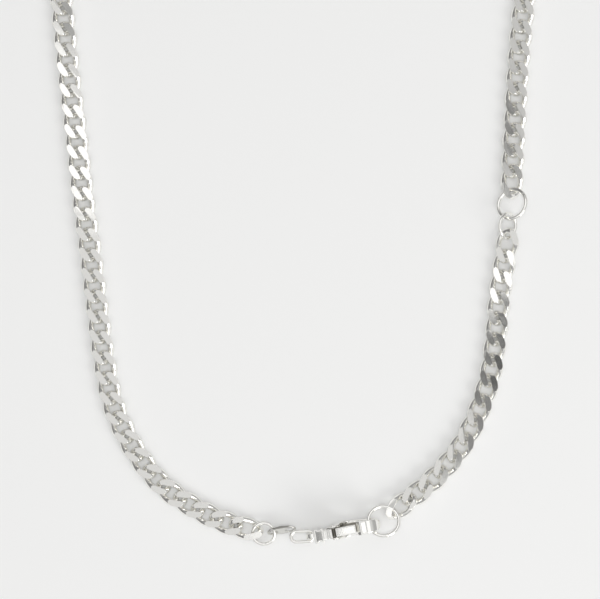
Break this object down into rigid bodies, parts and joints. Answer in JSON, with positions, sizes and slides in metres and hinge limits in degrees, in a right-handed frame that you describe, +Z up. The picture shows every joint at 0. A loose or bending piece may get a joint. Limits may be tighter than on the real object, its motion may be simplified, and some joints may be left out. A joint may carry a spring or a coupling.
{
  "type": "curb chain necklace",
  "caption": "Flat curb chain necklace lying in a closed loop, with a lobster clasp hooked on its end ring, a small blank oval tag and a short extender chain.",
  "frame": {"origin": "centre of the loop's bounding box on the surface that it lies on", "axes": "Z up from the surface, Y along the loop from the clasp at the front to the back of the neck, X to the right seen from above"},
  "size_m": [0.0902, 0.2142, 0.0056],
  "materials": {
    "polished_silver": "polished sterling silver, facets ground flat and bright"
  },
  "bodies": {
    "necklace": {"main_chain_left": "polished_silver", "main_chain_right": "polished_silver", "extender_chain": "polished_silver", "tag_ring": "polished_silver", "tag": "polished_silver", "oval_link": "polished_silver", "clasp_body": "polished_silver", "clasp_pin": "polished_silver", "end_ring": "polished_silver", "length_ring": "polished_silver", "joining_ring": "polished_silver"},
    "lever": {"clasp_lever": "polished_silver"}
  },
  "joints": [
    {"name": "lever_pivot", "type": "hinge", "parent": "necklace", "child": "lever", "pos_m": [0.00534, -0.10471, 0.0035], "axis": [0.184, -0.9829, 0], "range_deg": [0, 25], "stiffness_Nm_per_rad": 0.001, "springref_deg": -20.05}
  ]
}
